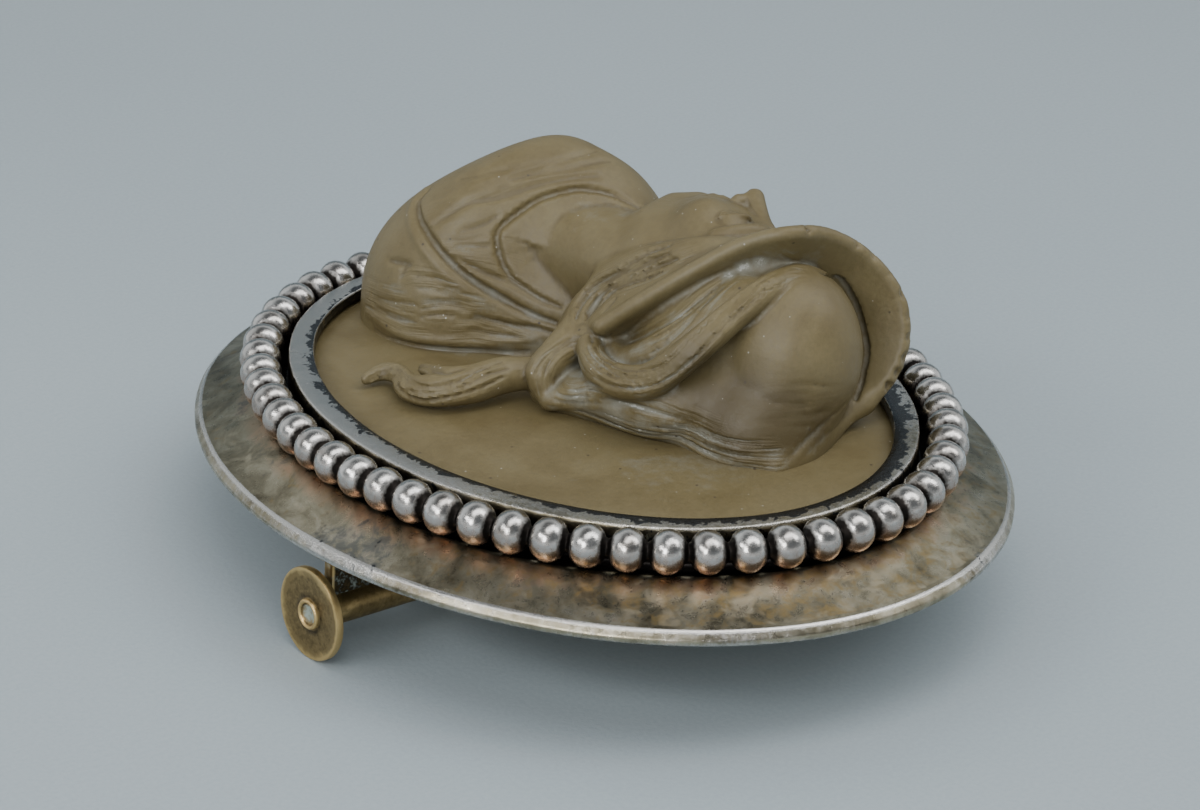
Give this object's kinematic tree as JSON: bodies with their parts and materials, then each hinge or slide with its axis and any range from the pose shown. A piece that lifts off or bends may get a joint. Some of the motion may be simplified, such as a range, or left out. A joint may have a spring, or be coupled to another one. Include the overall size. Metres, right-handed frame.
{
  "type": "cameo brooch",
  "caption": "Oval high-relief cameo brooch: draped bust in a hat on a stone ground, in a beaded silver mount with a brass tube catch and a pin across the back.",
  "frame": {"origin": "centre of the bounding box's base: the surface that the brooch lies on, under the centre of the oval", "axes": "+Z out of the stone's face, +Y along the oval to the top of the figure, +X to the viewer's right, where the catch's disc is"},
  "size_m": [0.0492, 0.06, 0.0249],
  "materials": {
    "tarnished_silver": "silver with brown and grey tarnish, bright on the filed edge",
    "polished_silver": "polished silver beads, dark in the recesses",
    "olive_lava": "carved lava stone, matte olive brown with a slight sheen and pale dust in the recesses",
    "old_brass": "dull brown brass, lighter on edges",
    "pin_metal": "plain drawn wire, slightly tarnished"
  },
  "bodies": {
    "brooch": {"setting": "tarnished_silver", "bead_border": "polished_silver", "cameo": "olive_lava", "clasp_tube": "old_brass", "brooch_pin": "pin_metal"},
    "catch": {"clasp_slide": "old_brass"}
  },
  "joints": [
    {"name": "catch_slide", "type": "slide", "parent": "brooch", "child": "catch", "axis": [0.9994, 0, 0.0347], "range_m": [0, 0.0055]}
  ]
}
